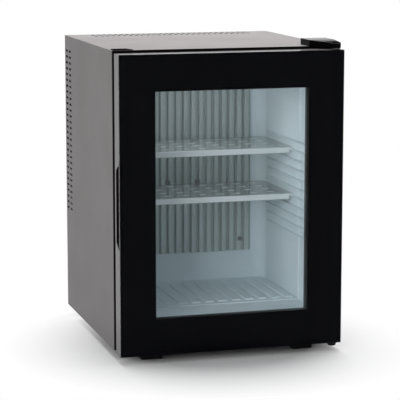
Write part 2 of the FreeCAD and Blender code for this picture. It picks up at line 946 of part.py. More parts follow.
def outer_glass():
    x = both(half_width)
    pane = block(x, (front, print_front), (door_bottom, door_top))
    rim = [
        edge
        for edge in pane.Edges
        if all(abs(vertex.Point.y - front) < glass_bevel for vertex in edge.Vertexes)
    ]
    return pane.makeChamfer(glass_bevel, rim)


def glass_border_print():
    return door_ring(0, border_width, (print_front, frame_front))


def glazing_spacer():
    return door_ring(border_width - spacer_width, border_width, (frame_front, pane_front))


def inner_glass():
    z = (door_bottom + pane_inset, door_top - pane_inset)
    return block(both(half_width - pane_inset), (pane_front, pane_back), z)


def pull_outline(inset, start, reach):
    near = front + pull_inset + inset
    far = front + pull_inset + pull_width - inset
    long_half = pull_length / 2 - inset
    short_half = pull_rear_length / 2 - inset
    outline = [(near, -long_half), (far, -short_half), (far, short_half), (near, long_half)]
    points = [Vector(start, y, door_middle + z) for y, z in outline]
    return prism(points, Vector(reach, 0, 0))


def finger_pull():
    # A cup in the edge of the door, open to the side
    cup = pull_outline(0, -half_width, pull_depth)
    return cup.cut(pull_outline(pull_wall, -half_width - overrun, pull_depth + overrun - pull_wall))


def bush_body(radius, overlap):
    # The places of both hinge bushes in the door
    top = rod(
        radius,
        Vector(hinge_x, hinge_y, door_top - bush_depth),
        Vector(hinge_x, hinge_y, door_top + overlap),
    )
    bottom = rod(
        radius,
        Vector(hinge_x, hinge_y, door_bottom - overlap),
        Vector(hinge_x, hinge_y, door_bottom + bush_depth),
    )
    return top, bottom


def door_frame():
    # One rebated ring, cut into two rails and two stiles where they butt together
    ring = door_ring(0, stile_width, (frame_front, door_back))
    rebate_inset = pane_inset - glazing_gap
    rebate_y = (frame_front - overrun, pane_back + glazing_gap)
    z = (door_bottom + rebate_inset, door_top - rebate_inset)
    rebate = block(both(half_width - rebate_inset), rebate_y, z)
    groove_outer = gasket_inset + gasket_width / 2 - groove_width / 2
    groove_inner = groove_outer + groove_width
    groove = door_ring(groove_outer, groove_inner, (door_back - groove_depth, door_back + overrun))
    pocket = pull_outline(0, -half_width - overrun, pull_depth + overrun)
    top_bore, bottom_bore = bush_body(bush_radius, overrun)
    ring = cut(ring, [rebate, groove, pocket, top_bore, bottom_bore])
    everywhere = both(half_width + overrun)
    y = (front - overrun, door_back + overrun)
    low = door_bottom + stile_width
    high = door_top - stile_width
    side = (half_width + overrun, 0)
    left = block((-side[0], side[1]), y, (low, high))
    return {
        "door_top_rail": ring.common(block(everywhere, y, (high, door_top + overrun))),
        "door_bottom_rail": ring.common(block(everywhere, y, (door_bottom - overrun, low))),
        "door_left_stile": ring.common(left),
        "door_right_stile": ring.common(mirrored(left)),
    }


def hinge_bush(is_top):
    body = bush_body(bush_radius, 0)[0 if is_top else 1]
    bore = bush_body(pin_radius + running_gap, bush_flange + overrun)[0 if is_top else 1]
    edge = door_top if is_top else door_bottom
    outward = bush_flange if is_top else -bush_flange
    flange = rod(
        bush_flange_radius, Vector(hinge_x, hinge_y, edge), Vector(hinge_x, hinge_y, edge + outward)
    )
    return fuse([body, flange]).cut(bore)


def gasket_path(inset, y):
    x = half_width - inset
    low = door_bottom + inset
    high = door_top - inset
    corners = [(-x, low), (x, low), (x, high), (-x, high), (-x, low)]
    return Part.makePolygon([Vector(across, y, z) for across, z in corners])


def magnet_bars():
    # Four magnet strips in the head of the gasket
    inset = gasket_inset + (gasket_width - magnet_width) / 2
    back = cabinet_front - fit_gap - magnet_cover
    y = (back - magnet_thickness, back)
    ring = door_ring(inset, inset + magnet_width, y)
    long_x = half_width - inset - magnet_width - magnet_end_gap
    z = (door_bottom + inset + magnet_width, door_top - inset - magnet_width)
    short_z = (z[0] + magnet_end_gap, z[1] - magnet_end_gap)
    tall = ring.common(block(both(half_width), y, short_z))
    flat = ring.common(block(both(long_x), y, (door_bottom, door_top)))
    return tall.Solids + flat.Solids


def door_gasket():
    # A bellows section with a dart in the door's groove, swept round the door with square corners
    depth = gasket_gap - fit_gap
    foot = gasket_width * gasket_foot_share
    waist = gasket_width * gasket_waist_share
    dart = groove_width / 2 - dart_gap
    half = [
        (dart, -groove_depth + dart_gap),
        (dart, 0),
        (gasket_width / 2 - foot, 0),
        (gasket_width / 2 - foot, depth * gasket_foot_rise_share),
        (gasket_width / 2 - waist, depth * gasket_waist_rise_share),
        (gasket_width / 2 - waist, depth * gasket_neck_rise_share),
        (gasket_width / 2, depth * gasket_head_rise_share),
        (gasket_width / 2, depth),
    ]
    outline = half + [(-across, rise) for across, rise in half[::-1]]
    middle = door_bottom + gasket_inset + gasket_width / 2
    points = [Vector(0, door_back + rise, middle + across) for across, rise in outline]
    section = Part.makePolygon(points + points[:1])
    path = gasket_path(gasket_inset + gasket_width / 2, door_back)
    ring = path.makePipeShell([section], True, False, 1)
    return cut(ring, magnet_bars())


def bracket_outline(width, grow, z, height):
    # A plate that narrows from the cabinet to a round nose on the hinge axis
    nose = bracket_nose_radius + grow
    right = hinge_x + nose
    left = hinge_x + bracket_nose_radius - width - grow
    outline = [
        (left, bracket_rear + grow),
        (left, cabinet_front - grow),
        (hinge_x - nose, hinge_y),
        (right, hinge_y),
        (right, bracket_rear + grow),
    ]
    plate = prism([Vector(x, y, z) for x, y in outline], Vector(0, 0, height))
    axis = Vector(hinge_x, hinge_y, z)
    return fuse([plate, rod(nose, axis, axis.add(Vector(0, 0, height)))])


def bracket_screw_places(width, z):
    left = hinge_x + bracket_nose_radius - width + bracket_screw_inset
    right = hinge_x + bracket_nose_radius - bracket_screw_inset
    return [Vector(x, bracket_rear - bracket_screw_inset, z) for x in (left, right)]


def upper_screw_holes():
    places = bracket_screw_places(bracket_width, cabinet_top + bracket_sheet)
    return [screw_hole(place, up, bracket_screw_length) for place in places]


def lower_screw_holes():
    places = bracket_screw_places(lower_bracket_width, lower_bracket_bottom)
    return [screw_hole(place, Vector(0, 0, -1), bracket_screw_length) for place in places]


def upper_screws():
    places = bracket_screw_places(bracket_width, cabinet_top + bracket_sheet)
    return [screw(place, up, bracket_screw_length) for place in places]


def lower_screws():
    places = bracket_screw_places(lower_bracket_width, lower_bracket_bottom)
    return [screw(place, Vector(0, 0, -1), bracket_screw_length) for place in places]


def upper_pin():
    low = door_top - bush_depth + pin_end_gap
    high = cabinet_top + bracket_sheet
    return rod(pin_radius, Vector(hinge_x, hinge_y, low), Vector(hinge_x, hinge_y, high))


def lower_pin():
    high = door_bottom + bush_depth - pin_end_gap
    low = lower_bracket_bottom
    return rod(pin_radius, Vector(hinge_x, hinge_y, low), Vector(hinge_x, hinge_y, high))


def upper_bracket():
    plate = bracket_outline(bracket_width, 0, cabinet_top, bracket_sheet)
    return cut(plate, [upper_pin()] + upper_screw_holes())


def lower_bracket():
    # A plate under the door with a raised pad against the base of the cabinet
    height = cabinet_bottom - lower_bracket_bottom
    body = bracket_outline(lower_bracket_width, 0, lower_bracket_bottom, height)
    under_door = block(
        both(half_width + overrun),
        (front - overrun, cabinet_front + bracket_step),
        (lower_bracket_top, cabinet_bottom + overrun),
    )
    return cut(body, [under_door, lower_pin()] + lower_screw_holes())


def hinge_cover():
    # A moulded cap over the upper bracket, with a sloping top and an open underside
    low = cabinet_top - cover_skirt
    high = cabinet_top + cover_height
    outer = bracket_outline(bracket_width, cover_gap, low, high - low)
    hollow = high - low + overrun - cover_wall
    inner = bracket_outline(bracket_width, cover_gap - cover_wall, low - overrun, hollow)
    nose = hinge_y - cover_half_nose
    slope = prism(
        [
            Vector(0, nose - overrun, high - cover_slope),
            Vector(0, nose, high - cover_slope),
            Vector(0, cabinet_front, high),
            Vector(0, cabinet_front, high + overrun),
            Vector(0, nose - overrun, high + overrun),
        ],
        Vector(overall_width, 0, 0),
    )
    under = block(
        both(half_width + overrun),
        (cabinet_front - fit_gap, rear),
        (low - overrun, cabinet_top),
    )
    return cut(outer, [inner, slope, under])


def front_foot():
    # A moulded block whose lower toe reaches under the door
    near = front + foot_setback
    far = near + foot_length
    step = cabinet_front + bracket_step
    outline = [
        (near, foot_chamfer),
        (near + foot_chamfer, 0),
        (far - foot_chamfer, 0),
        (far, foot_chamfer),
        (far, ground_clearance),
        (step, ground_clearance),
        (step, door_bottom - foot_toe_gap),
        (near, door_bottom - foot_toe_gap),
    ]
    left = -foot_offset - foot_width / 2
    points = [Vector(left, y, z) for y, z in outline]
    return prism(points, Vector(foot_width, 0, 0))


def rear_foot():
    y = rear - bend_radius - crossbar_depth / 2
    return Part.makeCone(
        rear_foot_base_radius,
        rear_foot_radius,
        ground_clearance,
        Vector(-rear_foot_offset, y, 0),
    )


left_panel = side_panel()
left_strip = side_edge_strip()
left_foot = front_foot()
left_rear_foot = rear_foot()

parts = {
    "left_side_panel": left_panel,
    "right_side_panel": mirrored(left_panel),
    "top_panel": top_panel(),
    "top_edge_strip": edge_strip(),
    "left_edge_strip": left_strip,
    "right_edge_strip": mirrored(left_strip),
    "base_panel": base_panel(),
    "rear_bulkhead": rear_bulkhead(),
    "rear_crossbar": rear_crossbar(),
    "insulation_foam": insulation_foam(),
    "inner_liner": inner_liner(),
    "hinge_blanking_cap": blanking_cap(),
    "front_left_foot": left_foot,
    "front_right_foot": mirrored(left_foot),
    "rear_left_foot": left_rear_foot,
    "rear_right_foot": mirrored(left_rear_foot),
    "upper_hinge_bracket": upper_bracket(),
    "upper_hinge_pin": upper_pin(),
    "upper_hinge_screws": upper_screws(),
    "hinge_cover": hinge_cover(),
    "lower_hinge_bracket": lower_bracket(),
    "lower_hinge_pin": lower_pin(),
    "lower_hinge_screws": lower_screws(),
    "cooling_plate": cooling_plate(),
    "cooling_plate_screws": plate_screws(),
    "temperature_sensor": temperature_sensor(),
    "cold_block": cold_block(),
    "peltier_module": peltier_module(),
    "hot_block": hot_block(),
    "hot_block_screws": hot_screws(),
    "heat_pipes": heat_pipes(),
    "condenser_fins": condenser_fins(),
    "fin_brackets": fin_brackets(),
    "supply_box": supply_box(),
    "supply_lid": supply_lid_plate(),
    "circuit_board": circuit_board(),
    "cord_gland": cord_gland(),
    "left_module_lead": module_lead(-1),
    "right_module_lead": module_lead(1),
    "lamp_housing": lamp_housing(),
    "lamp_lens": lamp_lens(),
    "led_board": led_board(),
    "thermostat_knob": thermostat_knob(),
    "outer_glass": outer_glass(),
    "glass_border_print": glass_border_print(),
    "glazing_spacer": glazing_spacer(),
    "inner_glass": inner_glass(),
    "finger_pull": finger_pull(),
    "upper_hinge_bush": hinge_bush(True),
    "lower_hinge_bush": hinge_bush(False),
    "door_gasket": door_gasket(),
    "gasket_magnets": magnet_bars(),
    "lower_shelf": shelf(rails_below_lower_shelf_count),
    "upper_shelf": shelf(rails_below_upper_shelf_count),
}
parts.update(door_frame())

os.makedirs("parts", exist_ok=True)
for name, shape in parts.items():
    solids = shape if isinstance(shape, list) else shape.Solids
    whole = solids[0] if len(solids) == 1 else Part.makeCompound(solids)
    whole.exportStep("parts/" + name + ".step")
    print(name, len(solids), "solids", round(whole.Volume / 1000, 2), "cm3", whole.isValid())
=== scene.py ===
import json
import math

import bmesh
import bpy
from mathutils import Matrix, Vector


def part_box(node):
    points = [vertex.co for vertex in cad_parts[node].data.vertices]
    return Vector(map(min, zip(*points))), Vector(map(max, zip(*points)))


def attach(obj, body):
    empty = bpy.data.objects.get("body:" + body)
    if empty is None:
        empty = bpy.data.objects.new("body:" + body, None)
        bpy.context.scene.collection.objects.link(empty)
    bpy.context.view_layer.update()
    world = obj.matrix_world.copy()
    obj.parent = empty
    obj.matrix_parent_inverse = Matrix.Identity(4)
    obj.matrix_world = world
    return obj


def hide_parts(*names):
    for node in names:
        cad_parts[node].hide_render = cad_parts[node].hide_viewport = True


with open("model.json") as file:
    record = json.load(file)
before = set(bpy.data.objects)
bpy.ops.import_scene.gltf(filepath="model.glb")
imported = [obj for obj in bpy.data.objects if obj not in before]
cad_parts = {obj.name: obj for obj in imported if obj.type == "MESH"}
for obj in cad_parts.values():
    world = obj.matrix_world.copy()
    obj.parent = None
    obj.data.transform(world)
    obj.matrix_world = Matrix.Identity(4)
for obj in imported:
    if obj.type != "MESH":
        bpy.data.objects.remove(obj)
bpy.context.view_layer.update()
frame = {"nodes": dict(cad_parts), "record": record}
nodes = frame["nodes"]
print("frame loaded:", len(nodes), "nodes")

pureWhite = (1.0, 1.0, 1.0, 1.0)


# object helpers

def addObject(name, data):
    item = bpy.data.objects.new(name, data)
    bpy.context.collection.objects.link(item)
    return item


def meshFrom(name, work):
    mesh = bpy.data.meshes.new(name)
    work.to_mesh(mesh)
    work.free()
    return mesh


# node graph helpers

textureLook = {
    "noiseRough": 0.55, "patchDetail": 3.0, "grainDetail": 2.0, "bevelSamples": 4,
    "toneSpan": (0.32, 0.68), "glossSpan": (0.3, 0.7),  # the part of the noise that is used
}


def newFinish(name):
    finish = bpy.data.materials.new(name)
    finish.use_nodes = True
    tree = finish.node_tree
    shader = next(node for node in tree.nodes if node.type == "BSDF_PRINCIPLED")
    return finish, tree, shader


def surfaceSocket(tree):
    output = next(node for node in tree.nodes if node.type == "OUTPUT_MATERIAL")
    return output.inputs["Surface"]


def addNode(tree, kind, settings):
    node = tree.nodes.new(kind)
    for label, value in settings.items():
        node.inputs[label].default_value = value
    return node


def addNoise(tree, scale, detail, stretch=(1.0, 1.0, 1.0)):
    place = tree.nodes.new("ShaderNodeTexCoord")
    mapping = addNode(tree, "ShaderNodeMapping", {"Scale": stretch})
    settings = {"Scale": scale, "Detail": detail, "Roughness": textureLook["noiseRough"]}
    texture = addNode(tree, "ShaderNodeTexNoise", settings)
    tree.links.new(place.outputs["Object"], mapping.inputs["Vector"])
    tree.links.new(mapping.outputs["Vector"], texture.inputs["Vector"])
    return texture.outputs["Fac"]


def addRamp(tree, factor, dark, pale):
    ramp = tree.nodes.new("ShaderNodeValToRGB")
    first, last = ramp.color_ramp.elements
    first.position, last.position = textureLook["toneSpan"]
    first.color, last.color = (*dark, 1.0), (*pale, 1.0)
    tree.links.new(factor, ramp.inputs["Fac"])
    return ramp.outputs["Color"]


def addRange(tree, factor, low, high, span=textureLook["glossSpan"]):
    settings = {"From Min": span[0], "From Max": span[1], "To Min": low, "To Max": high}
    node = addNode(tree, "ShaderNodeMapRange", settings)
    tree.links.new(factor, node.inputs["Value"])
    return node.outputs["Result"]


def addBump(tree, shader, height, strength, distance, edge=0.0):
    bump = addNode(tree, "ShaderNodeBump", {"Strength": strength, "Distance": distance})
    tree.links.new(height, bump.inputs["Height"])
    if edge:  # softens sharp sheet and moulding edges
        bevel = addNode(tree, "ShaderNodeBevel", {"Radius": edge})
        bevel.samples = textureLook["bevelSamples"]
        tree.links.new(bevel.outputs["Normal"], bump.inputs["Normal"])
    tree.links.new(bump.outputs["Normal"], shader.inputs["Normal"])


def addMath(tree, operation, first, second=None):
    node = tree.nodes.new("ShaderNodeMath")
    node.operation = operation
    for socket, value in zip(node.inputs, (first, second)):
        if isinstance(value, float):
            socket.default_value = value
        elif value is not None:
            tree.links.new(value, socket)
    return node.outputs["Value"]


def addMix(tree, factor, first, second):
    node = tree.nodes.new("ShaderNodeMixShader")
    for socket, source in zip(node.inputs, (factor, first, second)):
        tree.links.new(source, socket)
    return node.outputs["Shader"]


# finishes

plainLook = {"stretch": (1.0, 1.0, 1.0), "edge": 0.0, "metal": 0.0, "shine": 0.5}


def mottledFinish(name, ownLook):
    # two close tones in large patches, a fine grain in gloss and relief
    look = {**plainLook, **ownLook}
    finish, tree, shader = newFinish(name)
    patches = addNoise(tree, look["patchScale"], textureLook["patchDetail"], look["stretch"])
    grain = addNoise(tree, look["grainScale"], textureLook["grainDetail"], look["stretch"])
    tree.links.new(addRamp(tree, patches, look["dark"], look["pale"]), shader.inputs["Base Color"])
    tree.links.new(addRange(tree, grain, *look["rough"]), shader.inputs["Roughness"])
    addBump(tree, shader, grain, look["bump"], look["bumpDepth"], look["edge"])
    shader.inputs["Metallic"].default_value = look["metal"]
    shader.inputs["Specular IOR Level"].default_value = look["shine"]
    return finish


powderPaint = mottledFinish("powderPaint", {
    "dark": (0.133, 0.123, 0.124), "pale": (0.151, 0.141, 0.142), "patchScale": 9.0,
    "grainScale": 900.0, "rough": (0.38, 0.5), "bump": 0.12, "bumpDepth": 0.0004, "edge": 0.0012,
    "shine": 0.05,
})
zincPlate = mottledFinish("zincPlate", {
    "dark": (0.42, 0.43, 0.44), "pale": (0.60, 0.61, 0.61), "patchScale": 60.0,
    "grainScale": 420.0, "rough": (0.28, 0.48), "bump": 0.06, "bumpDepth": 0.0003, "metal": 1.0,
    "edge": 0.0005,
})
rigidFoam = mottledFinish("rigidFoam", {
    "dark": (0.62, 0.50, 0.28), "pale": (0.80, 0.68, 0.42), "patchScale": 40.0,
    "grainScale": 300.0, "rough": (0.75, 0.95), "bump": 0.5, "bumpDepth": 0.001,
})
linerSkin = mottledFinish("linerSkin", {
    "dark": (0.69, 0.775, 0.81), "pale": (0.75, 0.83, 0.865), "patchScale": 7.0,
    "grainScale": 500.0, "rough": (0.34, 0.46), "bump": 0.04, "bumpDepth": 0.0004, "edge": 0.0015,
    "shine": 0.35,
})
grainedBlack = mottledFinish("grainedBlack", {
    "dark": (0.0040, 0.0037, 0.0040), "pale": (0.0065, 0.0060, 0.0065), "patchScale": 30.0,
    "grainScale": 1400.0, "rough": (0.28, 0.42), "bump": 0.2, "bumpDepth": 0.0003, "edge": 0.0008,
    "shine": 0.05,
})
capMoulding = mottledFinish("capMoulding", {
    "dark": (0.0012, 0.0011, 0.0011), "pale": (0.0018, 0.0016, 0.0017), "patchScale": 30.0,
    "grainScale": 1400.0, "rough": (0.06, 0.1), "bump": 0.02, "bumpDepth": 0.0002, "edge": 0.0008,
    "shine": 0.018,
})
# matte black with no reflection for the edge strips and the blanking cap: black plastic trim whose black
# also stands in for the shadow in the gaps round the door and round the cap, partly painted shade
gapShadeBlack = mottledFinish("gapShadeBlack", {
    "dark": (0.0035, 0.0033, 0.0035), "pale": (0.0055, 0.0052, 0.0055), "patchScale": 30.0,
    "grainScale": 1400.0, "rough": (0.7, 0.85), "bump": 0.2, "bumpDepth": 0.0003, "shine": 0.0,
})
grainedGrey = mottledFinish("grainedGrey", {
    "dark": (0.089, 0.085, 0.086), "pale": (0.102, 0.097, 0.098), "patchScale": 12.0,
    "grainScale": 1200.0, "rough": (0.16, 0.26), "bump": 0.06, "bumpDepth": 0.0003, "edge": 0.0008,
    "shine": 0.08,
})
whiteMoulding = mottledFinish("whiteMoulding", {
    "dark": (0.66, 0.67, 0.66), "pale": (0.74, 0.75, 0.74), "patchScale": 15.0,
    "grainScale": 1200.0, "rough": (0.38, 0.5), "bump": 0.1, "bumpDepth": 0.0003, "edge": 0.0006,
})
copperTube = mottledFinish("copperTube", {
    "dark": (0.48, 0.20, 0.10), "pale": (0.72, 0.36, 0.22), "patchScale": 35.0,
    "grainScale": 500.0, "rough": (0.22, 0.42), "bump": 0.05, "bumpDepth": 0.0003, "metal": 1.0,
})
drawnAluminium = mottledFinish("drawnAluminium", {
    "dark": (0.52, 0.54, 0.55), "pale": (0.66, 0.68, 0.69), "patchScale": 25.0,
    "grainScale": 500.0, "rough": (0.30, 0.45), "bump": 0.08, "bumpDepth": 0.0003, "metal": 1.0,
    "stretch": (1.0, 1.0, 0.08), "edge": 0.0004,
})
anodisedPlate = mottledFinish("anodisedPlate", {
    "dark": (0.45, 0.50, 0.495), "pale": (0.49, 0.54, 0.535), "patchScale": 30.0,
    "grainScale": 700.0, "rough": (0.36, 0.5), "bump": 0.1, "bumpDepth": 0.0003,
    "stretch": (1.0, 1.0, 0.05), "edge": 0.0006, "metal": 0.06,
})
sealRubber = mottledFinish("sealRubber", {
    "dark": (0.020, 0.020, 0.021), "pale": (0.032, 0.032, 0.033), "patchScale": 25.0,
    "grainScale": 900.0, "rough": (0.55, 0.75), "bump": 0.15, "bumpDepth": 0.0003,
})
ferrite = mottledFinish("ferrite", {
    "dark": (0.03, 0.028, 0.028), "pale": (0.06, 0.055, 0.055), "patchScale": 80.0,
    "grainScale": 900.0, "rough": (0.6, 0.8), "bump": 0.2, "bumpDepth": 0.0003,
})
boardMask = mottledFinish("boardMask", {
    "dark": (0.012, 0.09, 0.03), "pale": (0.02, 0.14, 0.05), "patchScale": 120.0,
    "grainScale": 900.0, "rough": (0.3, 0.45), "bump": 0.05, "bumpDepth": 0.0002,
})
nylonMoulding = mottledFinish("nylonMoulding", {  # black, as nothing pale shows under the hinge cover
    "dark": (0.008, 0.008, 0.008), "pale": (0.013, 0.013, 0.013), "patchScale": 50.0,
    "grainScale": 900.0, "rough": (0.35, 0.5), "bump": 0.06, "bumpDepth": 0.0002,
})
redSleeve = mottledFinish("redSleeve", {
    "dark": (0.30, 0.012, 0.010), "pale": (0.40, 0.020, 0.016), "patchScale": 60.0,
    "grainScale": 900.0, "rough": (0.35, 0.5), "bump": 0.05, "bumpDepth": 0.0002,
})
# darker steel for the cooling plate screws and the sensor: painted shade, standing in for the shade in
# their recesses
recessShadeSteel = mottledFinish("recessShadeSteel", {
    "dark": (0.20, 0.21, 0.21), "pale": (0.27, 0.285, 0.285), "patchScale": 90.0,
    "grainScale": 900.0, "rough": (0.35, 0.5), "bump": 0.06, "bumpDepth": 0.0002, "metal": 0.3,
})
borderInk = mottledFinish("borderInk", {
    "dark": (0.0008, 0.0008, 0.0014), "pale": (0.0013, 0.0013, 0.0020), "patchScale": 12.0,
    "grainScale": 900.0, "rough": (0.5, 0.6), "bump": 0.02, "bumpDepth": 0.0002, "shine": 0.0,
})


paneLook = {
    "tint": (0.980, 0.988, 0.990, 1.0), "bend": 1.125,  # a larger bend mirrors more
    "smudgeScale": 14.0, "smudgeDetail": 4.0, "rough": (0.01, 0.05),
}


def clearPane():
    # lets lamps and sight straight through, and mirrors a little on its outer side
    finish, tree, shader = newFinish("clearPane")
    tree.nodes.remove(shader)
    through = addNode(tree, "ShaderNodeBsdfTransparent", {"Color": paneLook["tint"]})
    mirror = addNode(tree, "ShaderNodeBsdfGlossy", {"Color": pureWhite})
    smudges = addNoise(tree, paneLook["smudgeScale"], paneLook["smudgeDetail"])
    tree.links.new(addRange(tree, smudges, *paneLook["rough"]), mirror.inputs["Roughness"])
    fresnel = addNode(tree, "ShaderNodeFresnel", {"IOR": paneLook["bend"]})
    surface = tree.nodes.new("ShaderNodeNewGeometry")
    front = addMath(tree, "SUBTRACT", 1.0, surface.outputs["Backfacing"])
    shine = addMath(tree, "MULTIPLY", fresnel.outputs["Fac"], front)
    whole = addMix(tree, shine, through.outputs["BSDF"], mirror.outputs["BSDF"])
    tree.links.new(whole, surfaceSocket(tree))
    return finish


shelfLook = {
    "pale": (0.82, 0.87, 0.88), "dark": (0.75, 0.805, 0.815), "clear": (0.96, 0.98, 0.98, 1.0),
    "patchScale": 20.0, "patchDetail": 3.0, "grainScale": 700.0, "grainDetail": 2.0,
    "rough": (0.35, 0.5), "bump": 0.04, "bumpDepth": 0.0003,
    "flatShare": 0.54, "edgeGlintShare": 0.84, "levelSpan": (0.2, 0.9), "lightShare": 0.85,
    "mirrorRough": 0.12, "slantBlend": 0.5, "slantPower": 3.0,
}


def clearMoulding():
    # clearer on level faces, milkier on upright walls and slot edges; the milky pale upright faces are
    # partly painted highlight, for the light that the lip and slot edges catch
    look = shelfLook
    finish, tree, shader = newFinish("clearMoulding")
    patches = addNoise(tree, look["patchScale"], look["patchDetail"])
    grain = addNoise(tree, look["grainScale"], look["grainDetail"])
    tree.links.new(addRamp(tree, patches, look["dark"], look["pale"]), shader.inputs["Base Color"])
    tree.links.new(addRange(tree, grain, *look["rough"]), shader.inputs["Roughness"])
    addBump(tree, shader, grain, look["bump"], look["bumpDepth"])
    surface = tree.nodes.new("ShaderNodeNewGeometry")
    parts = tree.nodes.new("ShaderNodeSeparateXYZ")
    tree.links.new(surface.outputs["Normal"], parts.inputs["Vector"])
    level = addMath(tree, "ABSOLUTE", parts.outputs["Z"])
    milkAndGlint = addRange(tree, level, look["edgeGlintShare"], look["flatShare"], look["levelSpan"])
    path = tree.nodes.new("ShaderNodeLightPath")
    passed = addMath(tree, "MULTIPLY", path.outputs["Is Shadow Ray"], look["lightShare"])
    kept = addMath(tree, "SUBTRACT", 1.0, passed)
    share = addMath(tree, "MULTIPLY", milkAndGlint, kept)
    through = addNode(tree, "ShaderNodeBsdfTransparent", {"Color": look["clear"]})
    body = addMix(tree, share, through.outputs["BSDF"], shader.outputs["BSDF"])
    slant = addNode(tree, "ShaderNodeLayerWeight", {"Blend": look["slantBlend"]})
    steep = addMath(tree, "POWER", slant.outputs["Facing"], look["slantPower"])
    front = addMath(tree, "SUBTRACT", 1.0, surface.outputs["Backfacing"])
    seen = addMath(tree, "MULTIPLY", steep, front)
    shine = addMath(tree, "MULTIPLY", seen, kept)
    mirror = addNode(tree, "ShaderNodeBsdfGlossy", {"Roughness": look["mirrorRough"]})
    whole = addMix(tree, shine, body, mirror.outputs["BSDF"])
    tree.links.new(whole, surfaceSocket(tree))
    return finish


lensLook = {
    "colour": (0.80, 0.82, 0.80), "darkShare": 0.92, "patchScale": 90.0, "patchDetail": 2.0,
    "rough": (0.25, 0.4), "glow": (0.95, 0.98, 1.0, 1.0), "strength": 3.0,
}


def litLens():
    look = lensLook
    finish, tree, shader = newFinish("litLens")
    patches = addNoise(tree, look["patchScale"], look["patchDetail"])
    pale = look["colour"]
    dark = tuple(part * look["darkShare"] for part in pale)
    tree.links.new(addRamp(tree, patches, dark, pale), shader.inputs["Base Color"])
    tree.links.new(addRange(tree, patches, *look["rough"]), shader.inputs["Roughness"])
    shader.inputs["Emission Color"].default_value = look["glow"]
    shader.inputs["Emission Strength"].default_value = look["strength"]
    return finish


finishOfSlot = {
    "cabinet_paint": powderPaint, "zinc_steel": zincPlate, "foam": rigidFoam, "liner_plastic": linerSkin,
    "shelf_plastic": clearMoulding(), "black_plastic": grainedBlack, "grey_plastic": grainedGrey,
    "white_plastic": whiteMoulding, "aluminium": drawnAluminium, "copper": copperTube,
    "clear_glass": clearPane(), "black_print": borderInk, "gasket_rubber": sealRubber, "magnet": ferrite,
    "circuit_board": boardMask, "nylon": nylonMoulding, "red_insulation": redSleeve,
}
finishOfNode = {  # nodes that differ from the rest of their slot
    # the sensor takes the darker steel, painted recess shade
    "cooling_plate": anodisedPlate, "lamp_lens": litLens(), "temperature_sensor": recessShadeSteel,
    # the edge strips and blanking cap: black trim that is partly painted gap shadow
    "top_edge_strip": gapShadeBlack, "left_edge_strip": gapShadeBlack, "right_edge_strip": gapShadeBlack,
    "hinge_blanking_cap": gapShadeBlack, "hinge_cover": capMoulding,
}


def dressNodes():
    for part in frame["record"]["subparts"]:
        name = part["node"]
        mesh = nodes[name].data
        mesh.materials.clear()
        mesh.materials.append(finishOfNode.get(name, finishOfSlot[part["material_slot"]]))


dressNodes()
print("finishes:", len(bpy.data.materials))


# screw heads

screwLook = {
    "height": 0.0022, "rings": 5, "sides": 28, "domeShare": 0.55,
    "slotLength": 1.15, "slotWidth": 0.22, "slotDepth": 0.6, "cutterTop": 1.5,
    "weld": 1e-6,  # joins the CAD mesh's corners before its solids are told apart
}


def crossHeadMesh(radius, height):
    # a domed head, standing on z = 0, with a cross recess
    body = bmesh.new()
    rim = height * (1.0 - screwLook["domeShare"])
    sides, rings = screwLook["sides"], screwLook["rings"]
    profile = [(radius, 0.0)]
    for ring in range(rings):
        turn = math.pi / 2 * ring / rings
        profile.append((radius * math.cos(turn), rim + (height - rim) * math.sin(turn)))
    angles = [math.tau * side / sides for side in range(sides)]
    loops = []
    for reach, level in profile:
        points = [(reach * math.cos(angle), reach * math.sin(angle), level) for angle in angles]
        loops.append([body.verts.new(point) for point in points])
    for lower, upper in zip(loops, loops[1:]):
        for side in range(sides):
            after = (side + 1) % sides
            body.faces.new((lower[side], lower[after], upper[after], upper[side]))
    body.faces.new(loops[-1])
    body.faces.new(list(reversed(loops[0])))
    blank = addObject("headBlank", meshFrom("headBlank", body))
    cross = crossCutter(radius, height)
    carve = blank.modifiers.new("cross", "BOOLEAN")
    carve.object, carve.operation, carve.solver = cross, "DIFFERENCE", "EXACT"
    carved = bpy.data.meshes.new_from_object(blank.evaluated_get(bpy.context.evaluated_depsgraph_get()))
    for item in (blank, cross):
        bpy.data.objects.remove(item)
    return carved


def crossCutter(radius, height):
    # a cross-shaped bar that reaches down into the top of the head
    tool = bmesh.new()
    halfLength = radius * screwLook["slotLength"] / 2
    halfWidth = radius * screwLook["slotWidth"] / 2
    depth = height * screwLook["slotDepth"]
    outline = []
    for signX, signY in ((1, 1), (-1, 1), (-1, -1), (1, -1)):
        sideways = (signX * halfLength, signY * halfWidth)
        inner = (signX * halfWidth, signY * halfWidth)
        upright = (signX * halfWidth, signY * halfLength)
        outline += [sideways, inner, upright] if signX * signY > 0 else [upright, inner, sideways]
    low = [tool.verts.new((x, y, height - depth)) for x, y in outline]
    high = [tool.verts.new((x, y, height * screwLook["cutterTop"])) for x, y in outline]
    tool.faces.new(list(reversed(low)))
    tool.faces.new(high)
    for index in range(len(outline)):
        after = (index + 1) % len(outline)
        tool.faces.new((low[index], low[after], high[after], high[index]))
    return addObject("crossCutter", meshFrom("crossCutter", tool))


def screwGroup(name, places, normal, radius, height, finish):
    # one piece with a head at each place
    head = crossHeadMesh(radius, height)
    turn = Vector((0, 0, 1)).rotation_difference(Vector(normal)).to_matrix().to_4x4()
    group = bmesh.new()
    for place in places:
        copy = head.copy()
        copy.transform(Matrix.Translation(place) @ turn)
        group.from_mesh(copy)
        bpy.data.meshes.remove(copy)
    mesh = meshFrom(name, group)
    bpy.data.meshes.remove(head)
    mesh.materials.append(finish)
    return addObject(name, mesh)


